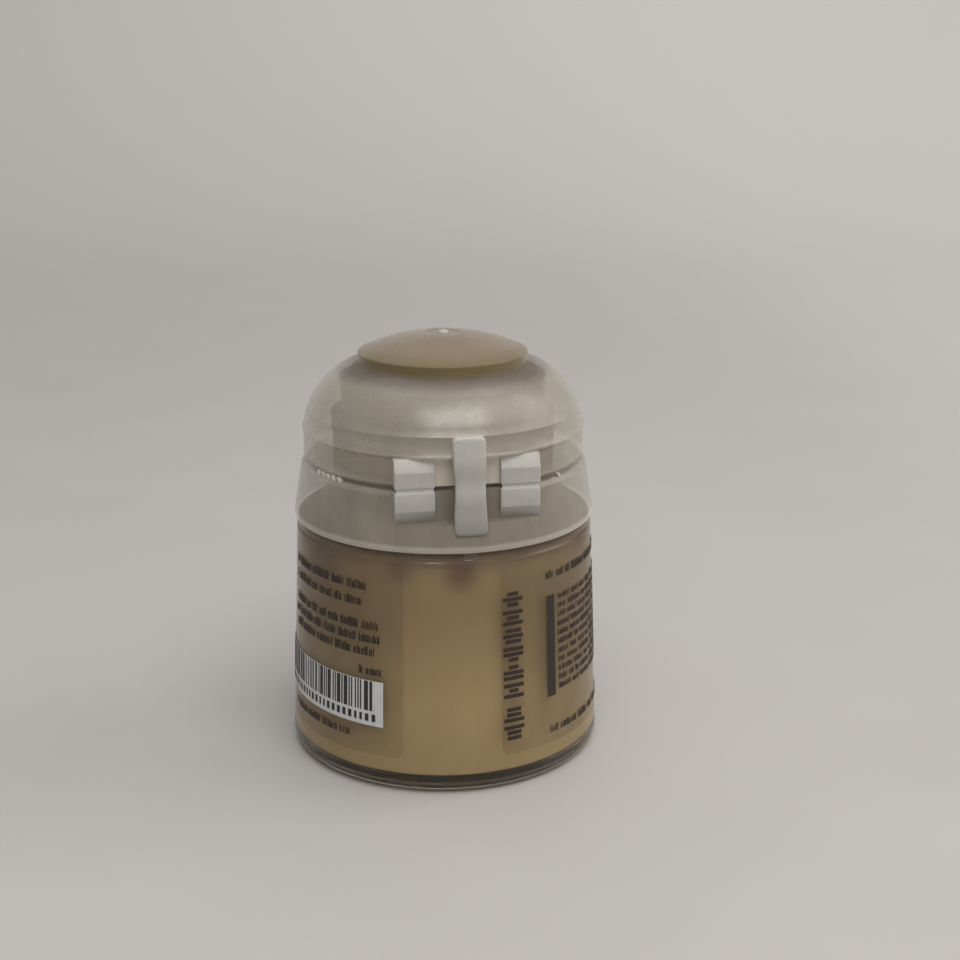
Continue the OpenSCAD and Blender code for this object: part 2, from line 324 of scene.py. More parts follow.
class Nodes:
    """A small helper that adds nodes to one material."""

    def __init__(self, name):
        self.material = bpy.data.materials.new(name)
        self.material.use_nodes = True
        self.tree = self.material.node_tree
        self.shader = self.tree.nodes["Principled BSDF"]
        self.place = self.add("ShaderNodeTexCoord").outputs["Object"]

    def add(self, kind, **values):
        node = self.tree.nodes.new(kind)
        for key, value in values.items():
            setattr(node, key, value)
        return node

    def join(self, a, b):
        self.tree.links.new(a, b)

    def set(self, **values):
        for key, value in values.items():
            name = key.replace("_", " ")
            self.shader.inputs[name].default_value = value

    def scaled(self, x, y, z, shift=(0, 0, 0)):
        """Object coordinates times a scale, so 1000 gives millimetres."""
        node = self.add("ShaderNodeMapping")
        node.inputs["Scale"].default_value = (x, y, z)
        node.inputs["Location"].default_value = shift
        self.join(self.place, node.inputs["Vector"])
        return node.outputs["Vector"]

    def noise(self, per_mm, detail=4, rough=0.55, stretch=(1, 1, 1), shift=(0, 0, 0)):
        node = self.add("ShaderNodeTexNoise")
        k = 1000 * per_mm
        self.join(
            self.scaled(k * stretch[0], k * stretch[1], k * stretch[2], shift),
            node.inputs["Vector"],
        )
        node.inputs["Scale"].default_value = 1
        node.inputs["Detail"].default_value = detail
        node.inputs["Roughness"].default_value = rough
        return node.outputs["Fac"]

    def ramp(self, value, stops):
        """Value to colour. stops are (position, colour)."""
        node = self.add("ShaderNodeValToRGB")
        self.join(value, node.inputs["Fac"])
        ramp = node.color_ramp
        while len(ramp.elements) > 1:
            ramp.elements.remove(ramp.elements[-1])
        for k, (at, colour) in enumerate(stops):
            e = ramp.elements[0] if k == 0 else ramp.elements.new(at)
            e.position = at
            e.color = (*colour, 1)
        return node.outputs["Color"]

    def span(self, value, a, b, c=0.0, d=1.0):
        """A value's range a..b mapped smoothly to c..d."""
        node = self.add("ShaderNodeMapRange", interpolation_type="SMOOTHSTEP")
        self.join(value, node.inputs["Value"])
        for key, v in (("From Min", a), ("From Max", b), ("To Min", c), ("To Max", d)):
            node.inputs[key].default_value = v
        return node.outputs["Result"]

    def sum(self, op, a, b):
        node = self.add("ShaderNodeMath", operation=op)
        for k, v in enumerate((a, b)):
            if isinstance(v, (int, float)):
                node.inputs[k].default_value = v
            else:
                self.join(v, node.inputs[k])
        return node.outputs[0]

    def mix(self, factor, a, b):
        """Colour a to colour b, either one a node's output or a fixed colour."""
        node = self.add("ShaderNodeMix", data_type="RGBA")
        self.join(factor, node.inputs[0])
        for socket, v in ((node.inputs[6], a), (node.inputs[7], b)):
            if isinstance(v, tuple):
                socket.default_value = (*v, 1)
            else:
                self.join(v, socket)
        return node.outputs[2]

    def position_mm(self, axis):
        node = self.add("ShaderNodeSeparateXYZ")
        self.join(self.scaled(1000, 1000, 1000), node.inputs[0])
        return node.outputs[axis]

    def height_mm(self):
        return self.position_mm("Z")

    def skin(self):
        """What the base colour is now, to be mixed further."""
        return self.shader.inputs["Base Color"].links[0].from_socket

    def cover(self):
        """What the alpha is now, to be changed further."""
        return self.shader.inputs["Alpha"].links[0].from_socket

    def set_cover(self, socket):
        self.join(socket, self.shader.inputs["Alpha"])

    def radius_mm(self):
        node = self.add("ShaderNodeVectorMath", operation="LENGTH")
        self.join(self.scaled(1000, 1000, 0), node.inputs[0])
        return node.outputs["Value"]

    def away(self, x, y, z):
        """Distance in millimetres from a point given in millimetres."""
        node = self.add("ShaderNodeVectorMath", operation="DISTANCE")
        self.join(self.scaled(1000, 1000, 1000), node.inputs[0])
        node.inputs[1].default_value = (x, y, z)
        return node.outputs["Value"]

    def bump(self, height, strength, distance_mm):
        node = self.add("ShaderNodeBump")
        node.inputs["Strength"].default_value = strength
        node.inputs["Distance"].default_value = distance_mm * MM
        self.join(height, node.inputs["Height"])
        previous = self.shader.inputs["Normal"]
        if previous.is_linked:
            self.join(previous.links[0].from_socket, node.inputs["Normal"])
        self.join(node.outputs["Normal"], self.shader.inputs["Normal"])

    def colour(self, socket):
        self.join(socket, self.shader.inputs["Base Color"])

    def roughness(self, socket):
        self.join(socket, self.shader.inputs["Roughness"])


def linear(r, g, b):
    """An 8-bit display colour as scene-linear."""

    def one(c):
        c /= 255
        return c / 12.92 if c <= 0.04045 else ((c + 0.055) / 1.055) ** 2.4

    return (one(r), one(g), one(b))


PLASTIC_IOR = 1.49


def jar_plastic():
    """Clear, slightly uneven plastic."""
    m = Nodes("jar_polypropylene")
    cloud = m.noise(0.22, 3, 0.5)
    m.colour(m.ramp(cloud, [(0.3, linear(250, 245, 235)), (0.7, linear(253, 250, 243))]))
    m.roughness(m.span(m.noise(0.5, 4), 0.3, 0.7, 0.1, 0.2))
    m.bump(m.noise(0.9, 3), 0.06, 0.05)
    m.bump(m.noise(0.16, 2, stretch=(1, 1, 0.4)), 0.2, 0.12)
    m.set(IOR=PLASTIC_IOR, Transmission_Weight=1.0, Specular_IOR_Level=0.5)
    return m.material


def frosted(name, base, dark, cover, rough):
    """The closure's frosted plastic. Each skin of its wall lets some light straight through."""
    m = Nodes(name)
    cloud = m.noise(0.18, 5, 0.6)
    flow = m.noise(0.35, 4, 0.6, stretch=(1, 1, 0.25))
    tone = m.sum("ADD", m.sum("MULTIPLY", cloud, 0.6), m.sum("MULTIPLY", flow, 0.4))
    m.colour(m.ramp(tone, [(0.32, dark), (0.68, base)]))
    m.set_cover(m.span(tone, 0.3, 0.7, cover - 0.04, cover + 0.04))
    m.roughness(m.span(m.noise(0.8, 4), 0.3, 0.7, rough - 0.05, rough + 0.07))
    m.bump(m.noise(0.9, 1), 0.02, 0.03)
    m.bump(m.noise(0.3, 1, stretch=(1, 1, 0.5)), 0.06, 0.1)
    m.set(IOR=PLASTIC_IOR, Specular_IOR_Level=0.9, Sheen_Weight=0.4, Sheen_Roughness=0.45)
    return m


def paint_pocket_light(m):
    """Paints light onto the lid's flat wall behind the straps, which lies in shade there, and gives
    it extra cover.
    """
    near = m.span(m.away(0, 13.9, 32.2), 6.3, 7.3, 1.0, 0.0)
    below = m.span(m.height_mm(), POCKET_HIGH - 0.2, POCKET_HIGH, 1.0, 0.0)
    here = m.sum("MULTIPLY", near, below)
    # Painted light on the shaded pocket wall
    m.colour(m.mix(m.sum("MULTIPLY", here, 0.8), m.skin(), linear(206, 194, 174)))
    return m.sum("MULTIPLY", here, 0.36)


def lid_plastic():
    """The lid: paint has tinted its well, and a ring of painted shade lies below the well's edge.
    """
    m = frosted(
        "lid_frosted_polypropylene", linear(171, 160, 142), linear(160, 148, 129), 0.5, 0.3
    )
    z, r = m.height_mm(), m.radius_mm()
    in_well = m.span(z, 41.75, 42.15, 0.0, 1.0)
    tint = m.noise(0.2, 4, 0.6, shift=(4, 9, 1))
    brown = m.ramp(tint, [(0.3, linear(113, 97, 76)), (0.7, linear(124, 108, 87))])
    brown = m.mix(m.span(r, 6.6, 8.9, 0.0, 0.85), brown, linear(104, 90, 58))
    # Painted shade: a dark ring just below the well's edge, with a little more cover there
    shade_ring_low, shade_ring_high = 40.6, 41.5
    skin = m.mix(m.span(z, shade_ring_low, shade_ring_high, 0.0, 0.8), m.skin(), linear(70, 55, 41))
    m.colour(m.mix(in_well, skin, brown))
    cover = m.sum("ADD", m.cover(), m.span(z, shade_ring_low, shade_ring_high, 0.0, 0.15))
    # Painted light and extra cover on the pocket wall behind the straps
    cover = m.sum("ADD", cover, paint_pocket_light(m))
    m.set_cover(m.sum("MAXIMUM", cover, m.sum("MULTIPLY", in_well, 0.92)))
    # The skin is only part cover, so its gloss is set higher to come out as strong as a whole one's
    m.set(IOR=1.62, Sheen_Weight=0.32)
    m.join(m.span(z, 41.3, 42.0, 0.9, 0.12), m.shader.inputs["Specular IOR Level"])
    return m.material


def collar_plastic():
    """The collar, whose thick lower edge is more opaque and carries a painted highlight."""
    m = frosted(
        "collar_frosted_polypropylene", linear(163, 153, 137), linear(151, 140, 123), 0.54, 0.34
    )
    # A painted highlight along the lower edge, where the thick plastic is also more opaque
    edge = m.span(m.height_mm(), COLLAR_LOW + 0.5, COLLAR_LOW + 0.85, 0.55, 0.0)
    m.colour(m.mix(edge, m.skin(), linear(222, 212, 196)))
    m.set_cover(m.sum("MAXIMUM", m.cover(), m.sum("MULTIPLY", edge, 0.9)))
    return m.material


def inner_skin(name):
    """The inside of the closure's wall, which adds only a faint haze."""
    return frosted(name, linear(186, 176, 160), linear(172, 161, 144), 0.1, 0.3).material


def tab_plastic(name):
    """A part thick enough, or pulled enough, to be nearly solid white."""
    return frosted(name, linear(190, 182, 168), linear(178, 169, 154), 0.84, 0.34).material


def plug_plastic():
    """The sealing plug, coloured dark as painted shade for the inside of the closed lid, with more
    painted shade towards the dome and in the groove of its flange.
    """
    # Dark base colour: painted shade for the inside of the closed lid
    m = frosted(
        "plug_frosted_polypropylene", linear(100, 87, 71), linear(84, 71, 57), 0.95, 0.4
    )
    z = m.height_mm()
    # Painted shade, darker towards the dome
    upper = m.span(z, 38.2, 39.9, 0.0, 0.95)
    skin = m.mix(upper, m.skin(), linear(66, 52, 38))
    # Painted shade in the groove of the flange
    groove_z = 35.9
    from_groove = m.sum("ABSOLUTE", m.sum("SUBTRACT", z, groove_z), 0)
    m.colour(m.mix(m.span(from_groove, 0.0, 0.55, 0.8, 0.0), skin, linear(80, 66, 52)))
    return m.material


def strap_plastic():
    """The straps' stress-whitened plastic."""
    m = Nodes("strap_whitened_polypropylene")
    z = m.height_mm()
    cloud = m.noise(0.9, 5, 0.65)
    base = m.ramp(cloud, [(0.3, linear(188, 183, 175)), (0.7, linear(201, 196, 188))])
    near = m.span(m.sum("ABSOLUTE", m.sum("SUBTRACT", z, SEAM_Z), 0), 0.1, 1.6, 1, 0)
    # Darker towards the lower end, and on the centre strap below the dome
    base = m.mix(m.span(z, STRAP_LOW, 30.0, 0.8, 0.0), base, linear(158, 151, 145))
    beside = m.sum("ABSOLUTE", m.position_mm("X"), 0)
    in_strap = m.span(beside, 1.9, 2.3, 0.45, 0.0)
    middle = m.sum("MULTIPLY", in_strap, m.span(z, 33.5, 35.5, 1.0, 0.0))
    base = m.mix(middle, base, linear(150, 144, 138))
    m.colour(m.mix(m.sum("MULTIPLY", near, 0.5), base, linear(214, 210, 203)))
    m.roughness(m.span(m.noise(1.2, 4), 0.3, 0.7, 0.34, 0.5))
    m.bump(m.noise(2.2, 3), 0.08, 0.03)
    m.bump(m.noise(1.2, 3, stretch=(0.4, 1, 1.6)), 0.15, 0.05)
    m.set(IOR=PLASTIC_IOR, Transmission_Weight=0.35, Specular_IOR_Level=0.5)
    m.set(Subsurface_Weight=0.25, Subsurface_Radius=(1.0, 0.9, 0.8), Subsurface_Scale=0.0006)
    return m.material


def paint_wet():
    """Earth-coloured paint seen through the jar: fluid below and a thinner, darker film above, with
    painted shade that darkens it towards the top and under the shoulder.
    """
    m = Nodes("paint_earth")
    z = m.height_mm()
    cloud = m.noise(0.11, 4, 0.6)
    streak = m.noise(0.3, 4, 0.6, stretch=(1, 1, 0.3))
    tone = m.sum("ADD", m.sum("MULTIPLY", cloud, 0.55), m.sum("MULTIPLY", streak, 0.45))
    base = m.ramp(
        tone,
        [
            (0.30, linear(187, 160, 111)),
            (0.50, linear(194, 168, 119)),
            (0.72, linear(201, 176, 128)),
        ],
    )
    # Painted shade: darker towards the top
    base = m.mix(m.span(z, 8.0, 21.0, 0.0, 0.85), base, linear(162, 136, 93))
    # Darker still just under the shoulder: the thinner film, with painted shade under the collar
    base = m.mix(m.span(z, 22.6, 24.6, 0.0, 0.8), base, linear(138, 113, 80))
    # Darker patches under the shoulder: where, how far they reach, and how strong
    for place, reach, share in (
        ((0.9, 14.4, 23.2), 2.6, 0.8),
        ((6.7, 13.2, 23.5), 2.2, 0.5),
        ((13.4, 6.0, 23.6), 4.2, 0.6),
        ((-12.6, 7.6, 24.0), 3.0, 0.5),
    ):
        dark_patch = m.span(m.away(*place), 0.4, reach, share, 0.0)
        base = m.mix(dark_patch, base, linear(112, 76, 48))
    m.colour(base)
    m.roughness(m.span(streak, 0.3, 0.7, 0.42, 0.6))
    m.bump(m.noise(0.7, 4), 0.12, 0.06)
    m.set(Subsurface_Weight=0.15, Subsurface_Radius=(1.0, 0.7, 0.4), Subsurface_Scale=0.0008)
    return m.material


def stain_material(name, light, dark):
    """An uneven wash of paint on plastic, thinner in places."""
    m = Nodes(name)
    cloud = m.noise(0.28, 6, 0.65, shift=(11, 5, 2))
    fine = m.noise(0.7, 3, 0.5)
    m.colour(m.ramp(cloud, [(0.3, dark), (0.7, light)]))
    mask = m.sum("ADD", m.sum("MULTIPLY", cloud, 0.85), m.sum("MULTIPLY", fine, 0.15))
    m.set_cover(m.span(mask, 0.32, 0.6, 0.45, 1.0))
    m.roughness(m.span(fine, 0.3, 0.7, 0.5, 0.75))
    m.bump(fine, 0.2, 0.05)
    return m.material


def label_film_material():
    """Clear film, which darkens what lies under it a little."""
    m = Nodes("label_clear_film")
    cloud = m.noise(0.3, 4, 0.6)
    m.colour(m.ramp(cloud, [(0.3, linear(92, 74, 50)), (0.7, linear(104, 86, 60))]))
    m.set_cover(m.span(cloud, 0.3, 0.7, 0.06, 0.1))
    m.roughness(m.span(m.noise(0.8, 4), 0.3, 0.7, 0.18, 0.3))
    m.bump(m.noise(0.25, 3), 0.2, 0.08)
    m.set(IOR=1.5)
    return m.material


def ink(name, light, dark):
    """Printed ink, a little uneven in tone and gloss."""
    m = Nodes(name)
    cloud = m.noise(1.2, 5, 0.65)
    m.colour(m.ramp(cloud, [(0.3, dark), (0.7, light)]))
    m.roughness(m.span(m.noise(2.5, 3), 0.3, 0.7, 0.42, 0.6))
    m.bump(m.noise(4.0, 3), 0.15, 0.02)
    return m.material


# ---------------------------------------------------------------- the jar


def jar_outline():
    """Half-section of the jar: foot, label panel, neck with its bead, and the inside."""
    return rounded(
        [
            (0, 0.5),
            (13.4, 0.5, 0.25),
            (13.7, 0.0, 0.25),
            (15.2, 0.0, 0.9),
        ]
        + arc(15.2, 1.5, 1.5, -80, -8, 8)
        + [
            (16.69, 1.95, 0.3),
            (PANEL_R + 0.02, 2.15, 0.3),
            (PANEL_TOP_R, PANEL_TOP_Z, 0.12),
            (THROAT_R, PANEL_TOP_Z + 0.2, 0.1),
            (THROAT_R, SHOULDER_Z, 0.15),
            (12.9, SHOULDER_Z, 0.2),
            (12.9, 26.3, 0.1),
            (13.5, 26.5, 0.1),
            (13.5, 27.2, 0.2),
            (NECK_R, 27.9, 0.3),
            (NECK_R, RIM_Z, 0.35),
            (MOUTH_R, RIM_Z, 0.3),
            (MOUTH_R, INNER_TOP_Z, 0.3),
            (INNER_HIGH_R, INNER_TOP_Z, 0.6),
            (INNER_LOW_R, FLOOR_Z, 0.45),
            (0, FLOOR_Z),
        ]
    )


M_JAR = jar_plastic()
M_LID = lid_plastic()
M_COLLAR = collar_plastic()
M_PLUG = plug_plastic()
M_STRAP = strap_plastic()
M_PAINT = paint_wet()

jar = make_object("jar_body", turned(jar_outline()), M_JAR, 40)
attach(jar, "pot")
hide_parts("jar")

# Paint: it wets the wall, with a meniscus, and a thin film is left above its level
BITE = 0.04  # the paint reaches this far into the plastic, so that no air shows between them
inner_slope = (INNER_LOW_R - INNER_HIGH_R) / (INNER_TOP_Z - FLOOR_Z)


def inner_r(z):
    """Radius of the jar's inside at a height."""
    return INNER_LOW_R - inner_slope * (z - FLOOR_Z)


def uneven(r, z, a):
    """The level is not quite flat, and the film's upper edge wanders."""
    if z > 29.5:
        return 0, 0.5 * math.sin(3 * a + 1) + 0.3 * math.sin(7 * a) + 0.2 * math.sin(13 * a + 2)
    if abs(z - PAINT_Z) < 1 and r < inner_r(PAINT_Z) - 0.3:
        return 0, (0.10 * math.sin(2 * a + 0.6) + 0.06 * math.sin(5 * a + 2.1)) * r / 15
    return 0, 0


paint = make_object(
    "paint_body",
    turned(
        rounded(
            [
                (0, FLOOR_Z - 0.1),
                (inner_r(FLOOR_Z) + BITE, FLOOR_Z - 0.1, 0.5),
                (inner_r(10) + BITE, 10),
                (inner_r(PAINT_Z) + BITE, PAINT_Z),
                (INNER_HIGH_R + BITE, INNER_TOP_Z + BITE, 0.5),
                (MOUTH_R + BITE, INNER_TOP_Z + BITE, 0.3),
                (MOUTH_R + BITE, 28),
                (MOUTH_R + BITE, 30.2),
                (MOUTH_R - 0.06, 30.2),
                (MOUTH_R - 0.08, 28),
                (MOUTH_R - 0.08, INNER_TOP_Z - 0.12, 0.3),
                (INNER_HIGH_R - 0.12, INNER_TOP_Z - 0.12, 0.5),
                (inner_r(PAINT_Z) - 0.12, PAINT_Z + 0.3, 0.3),
                (inner_r(PAINT_Z) - 0.8, PAINT_Z - 0.35, 0.3),
                (inner_r(PAINT_Z) - 3, PAINT_Z - 0.5),
                (6, PAINT_Z - 0.5),
                (0, PAINT_Z - 0.5),
            ]
        ),
        uneven,
    ),
    M_PAINT,
    40,
)
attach(paint, "pot")
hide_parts("paint_fill")

# Paint carried up to the neck's outside and left there when the lid was last shut
M_STAIN = stain_material("paint_neck_stain", linear(100, 74, 44), linear(76, 54, 31))
neck_stain = make_object(
    "neck_stain",
    turned(
        [
            (NECK_R - 0.03, 28.6),
            (NECK_R + 0.04, 28.6),
            (NECK_R + 0.04, 31.0),
            (NECK_R + 0.04, 34.2),
            (NECK_R - 0.2, RIM_Z + 0.03),
            (MOUTH_R + 0.2, RIM_Z + 0.03),
            (MOUTH_R - 0.04, 34.4),
            (MOUTH_R - 0.04, 30.3),
            (MOUTH_R + 0.03, 30.3),
            (MOUTH_R + 0.03, 34.4),
            (MOUTH_R + 0.3, RIM_Z - 0.05),
            (NECK_R - 0.3, RIM_Z - 0.05),
            (NECK_R - 0.03, 34.2),
            (NECK_R - 0.03, 31.0),
        ]
    ),
    M_STAIN,
    40,
)
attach(neck_stain, "pot")

# Index nub under the hinge
nub = make_object(
    "index_nub",
    prism(
        rounded([(-0.78, 24.92), (0.78, 24.92), (0.78, 25.68), (-0.78, 25.68)], 0.18, 4),
        "y",
        THROAT_R - 0.25,
        THROAT_R + 0.28,
    ),
    M_JAR,
)
soften(nub, 0.07)
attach(nub, "pot")
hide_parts("index_lug")

# ---------------------------------------------------------------- the label

label_bm = bmesh.new()
first, last = LABEL_FIRST, 360 - LABEL_LAST
LABEL_COLUMNS = 300
LABEL_ROWS = 8
LABEL_CORNER = 0.9


def label_reach(t):
    """The label's lower and upper edge at an angle, with rounded corners."""
    room = min(t - first, last - t) * math.pi / 180 * PANEL_R
    if room >= LABEL_CORNER:
        return LABEL_LOW, LABEL_HIGH
    drop = LABEL_CORNER - math.sqrt(max(0, LABEL_CORNER**2 - (LABEL_CORNER - room) ** 2))
    return LABEL_LOW + drop, LABEL_HIGH - drop


angles = [first + (last - first) * k / LABEL_COLUMNS for k in range(LABEL_COLUMNS + 1)]
for extra in (0.15, 0.5, 1.1, 2.0):
    angles += [first + extra, last - extra]
angles = sorted(angles)
rows = []
for t in angles:
    low, high = label_reach(t)
    column = []
    for k in range(LABEL_ROWS + 1):
        z = low + (high - low) * k / LABEL_ROWS
        lift = 0.012 * math.sin(t * 0.31 + k) + 0.01 * math.sin(t * 0.083 + 2 * k)
        column.append(
            (
                label_bm.verts.new(around(t, wall_r(z) - 0.03, z)),
                label_bm.verts.new(around(t, wall_r(z) + LABEL_T - 0.02 + lift, z)),
            )
        )
    rows.append(column)
for i in range(len(rows) - 1):
    a, b = rows[i], rows[i + 1]
    for k in range(LABEL_ROWS):
        label_bm.faces.new((a[k][1], b[k][1], b[k + 1][1], a[k + 1][1]))
        label_bm.faces.new((a[k][0], a[k + 1][0], b[k + 1][0], b[k][0]))
    label_bm.faces.new((a[0][0], b[0][0], b[0][1], a[0][1]))
    label_bm.faces.new((a[-1][0], a[-1][1], b[-1][1], b[-1][0]))
for c in (rows[0], rows[-1]):
    for k in range(LABEL_ROWS):
        label_bm.faces.new((c[k][0], c[k][1], c[k + 1][1], c[k + 1][0]))
label = make_object("label_sheet", label_bm, label_film_material(), 50)
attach(label, "pot")
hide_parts("label_film")

# Print. Plain strokes, bars and blocks stand for the label's text, and none can be read.
INK_LIFT = LABEL_T + 0.012
INK_T = 0.03
ink_bm = bmesh.new()
draw = random.Random(41)
DEG_PER_MM = 180 / math.pi / 16.3


def stroke_line(phi0, phi1, z, height, weight=1.0):
    """A line of plain upright ticks in groups, from phi0 to phi1. z is its lower edge."""
    step = 0.2 * DEG_PER_MM
    way = 1 if phi1 > phi0 else -1
    t = phi0
    left = draw.randint(5, 12)
    while (phi1 - t) * way > step:
        if left == 0:
            t += way * step * 2.0
            left = draw.randint(4, 14)
            continue
        top = height * draw.choice((1.0, 0.74, 0.74, 0.86))
        wide = step * draw.choice((0.55, 0.72, 0.9)) * weight
        patch(ink_bm, t, t + way * wide, z, z + top, INK_LIFT, INK_T)
        t += way * step * draw.choice((0.95, 1.1, 1.25))
        left -= 1


# Left panel: two lines, three lines, one short line, and one line under the barcode
for edge, z in ((-39.5, 21.3), (-41.5, 19.6)):
    stroke_line(edge, -86, z, 0.95)
for edge, z in ((-34.5, 17.2), (-33.8, 15.8), (-36.0, 14.4)):
    stroke_line(edge, -86, z, 0.95)
stroke_line(-33.2, -42.5, 12.4, 0.85, 1.2)
stroke_line(-46.5, -84, 5.3, 0.8)

# Right panel: one line, a dense block beside a dark column, one closing line
stroke_line(30.5, 92, 21.7, 0.85)
for k in range(11):
    stroke_line(36.6, 94, 19.2 - k * 0.98, 0.62)
patch(ink_bm, 30.6, 34.6, 8.9, 19.9, INK_LIFT, INK_T)
stroke_line(31.5, 92, 4.9, 0.8)

# Large upright code: eight groups of centred bars, which spell nothing
CODE_IN, CODE_OUT = 11.6, 19.6
CODE_BAR, CODE_STEP, CODE_GAP = 0.4, 0.57, 0.24
CODE_BREAK, CODE_BREAK_AFTER = 0.9, 5
code_mid, code_half = (CODE_IN + CODE_OUT) / 2, (CODE_OUT - CODE_IN) / 2
BAR_WIDTHS = (
    (0.55, 1.0, 0.55),
    (1.0, 0.6, 1.0),
    (0.8, 1.0, 0.8),
    (1.0, 1.0, 0.5),
    (0.5, 1.0, 1.0),
    (1.0, 0.45, 1.0),
    (0.7, 0.7, 1.0),
    (1.0, 0.7, 0.7),
)
code_z = 21.2
for k, widths in enumerate(BAR_WIDTHS):
    for share in widths:
        patch(
            ink_bm,
            code_mid - code_half * share,
            code_mid + code_half * share,
            code_z - CODE_BAR,
            code_z,
            INK_LIFT,
            INK_T,
        )
        code_z -= CODE_STEP
    code_z -= CODE_BREAK if k == CODE_BREAK_AFTER else CODE_GAP
M_INK = ink("label_ink_brown", linear(44, 29, 18), linear(26, 16, 9))
label_ink = make_object("label_ink", ink_bm, M_INK)
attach(label_ink, "pot")

# Barcode panel: a white block with random bars, and a row of plain blocks for the digits
PANEL_LIFT = LABEL_T + 0.008
BAR_LIFT, BAR_T = LABEL_T + 0.022, 0.02
panel_bm = bmesh.new()
patch(panel_bm, -32.3, -102.0, 6.9, 11.75, PANEL_LIFT, INK_T)
panel = make_object(
    "barcode_panel", panel_bm, ink("label_ink_white", linear(192, 190, 187), linear(178, 176, 172))
)
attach(panel, "pot")
bars_bm = bmesh.new()
bars = random.Random(7)
t = -36.6
while t > -98:
    wide = bars.choice((0.16, 0.17, 0.33, 0.48)) * DEG_PER_MM
    patch(bars_bm, t, t - wide, 8.5, 11.7, BAR_LIFT, BAR_T)
    t -= wide + bars.choice((0.16, 0.17, 0.32)) * DEG_PER_MM
t = -35.4
while t > -97:
    wide = bars.choice((0.3, 0.42)) * DEG_PER_MM
    patch(bars_bm, t, t - wide, 7.35, 8.15, BAR_LIFT, BAR_T)
    t -= wide + 0.36 * DEG_PER_MM
barcode = make_object(
    "barcode_bars", bars_bm, ink("label_ink_black", linear(34, 31, 30), linear(20, 18, 18))
)
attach(barcode, "pot")

# The unseen front: a plain band and a paint drop
front_bm = bmesh.new()
patch(front_bm, 132, 228, 5.2, 9.6, INK_LIFT, INK_T)
patch(front_bm, 132, 228, 21.6, 22.6, INK_LIFT, INK_T)
front = make_object(
    "front_band", front_bm, ink("label_ink_band", linear(92, 74, 54), linear(74, 58, 41))
)
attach(front, "pot")
drop_bm = bmesh.new()
DROP_ROWS = 26
DROP_LOW, DROP_H, DROP_R = 11.2, 8.6, 3.0
for k in range(DROP_ROWS):
    z0 = DROP_LOW + DROP_H * k / DROP_ROWS
    z1 = DROP_LOW + DROP_H * (k + 1) / DROP_ROWS
    u = (z0 + z1) / 2 - DROP_LOW
    if u < DROP_R:
        half = math.sqrt(max(0.02, DROP_R**2 - (DROP_R - u) ** 2))
    else:
        half = DROP_R * math.cos((u - DROP_R) / 5.6 * math.pi / 2) ** 1.25
    turn = half * DEG_PER_MM
    patch(drop_bm, 180 - turn, 180 + turn, z0, z1, INK_LIFT, INK_T)
drop = make_object(
    "front_drop", drop_bm, ink("label_ink_paint_drop", linear(176, 152, 112), linear(160, 136, 98))
)
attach(drop, "pot")

# ---------------------------------------------------------------- the collar

collar_outer = [
    (COLLAR_BASE_R, COLLAR_LOW, 0.22),
    (COLLAR_BASE_R, COLLAR_LOW + 0.45, 0.12),
    (COLLAR_TOP_R, COLLAR_HIGH - 0.45, 0.25),
    (COLLAR_TOP_R - 0.36, COLLAR_HIGH, 0.12),
]
collar = make_object(
    "collar_ring",
    turned(
        rounded(
            [(COLLAR_SKIRT_R, COLLAR_LOW, 0.1)]
            + collar_outer
            + [
                (11.8, COLLAR_HIGH, 0.2),
                (11.8, COLLAR_HIGH - 1.0, 0.15),
                (COLLAR_TOP_R - 1.15, COLLAR_HIGH - 1.0, 0.3),
                (14.1, POCKET_LOW, 0.2),
                (COLLAR_BORE_R, POCKET_LOW - 0.4, 0.1),
                (COLLAR_BORE_R, 26.45, 0.1),
                (COLLAR_SKIRT_R, 26.25, 0.1),
            ]
        )
    ),
    M_COLLAR,
)
# Cut back to a flat behind the straps, then closed with a wall and a shelf
OUTSIDE, ABOVE, BELOW = 30, 50, 20  # clear of the object, for cutting tools
combine(
    collar,
    box_mesh(-POCKET_HALF, POCKET_HALF, POCKET_Y, OUTSIDE, POCKET_LOW, ABOVE),
    "DIFFERENCE",
)
plates = make_object(
    "collar_plates",
    turned(
        rounded(
            [
                (11.9, 27.6),
                (COLLAR_BASE_R - 0.42, 27.6),
                (COLLAR_TOP_R - 0.05, COLLAR_HIGH - 0.2),
                (COLLAR_TOP_R - 0.3, COLLAR_HIGH),
                (11.9, COLLAR_HIGH),
            ]
        )
    ),
    M_COLLAR,
)
side_half = POCKET_HALF + 0.8
plate_side = [
    (POCKET_Y - POCKET_WALL, POCKET_LOW - 0.7),
    (OUTSIDE, POCKET_LOW - 0.7),
    (OUTSIDE, POCKET_LOW),
    (POCKET_Y, POCKET_LOW),
    (POCKET_Y, ABOVE),
    (POCKET_Y - POCKET_WALL, ABOVE),
]
combine(plates, prism(plate_side, "x", -side_half, side_half), "INTERSECT")
merge(collar, plates, "UNION")
soften(collar, 0.1)
line_inside(collar, inner_skin("collar_inside_polypropylene"), (0, 0, 29))
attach(collar, "pot")
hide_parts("collar")

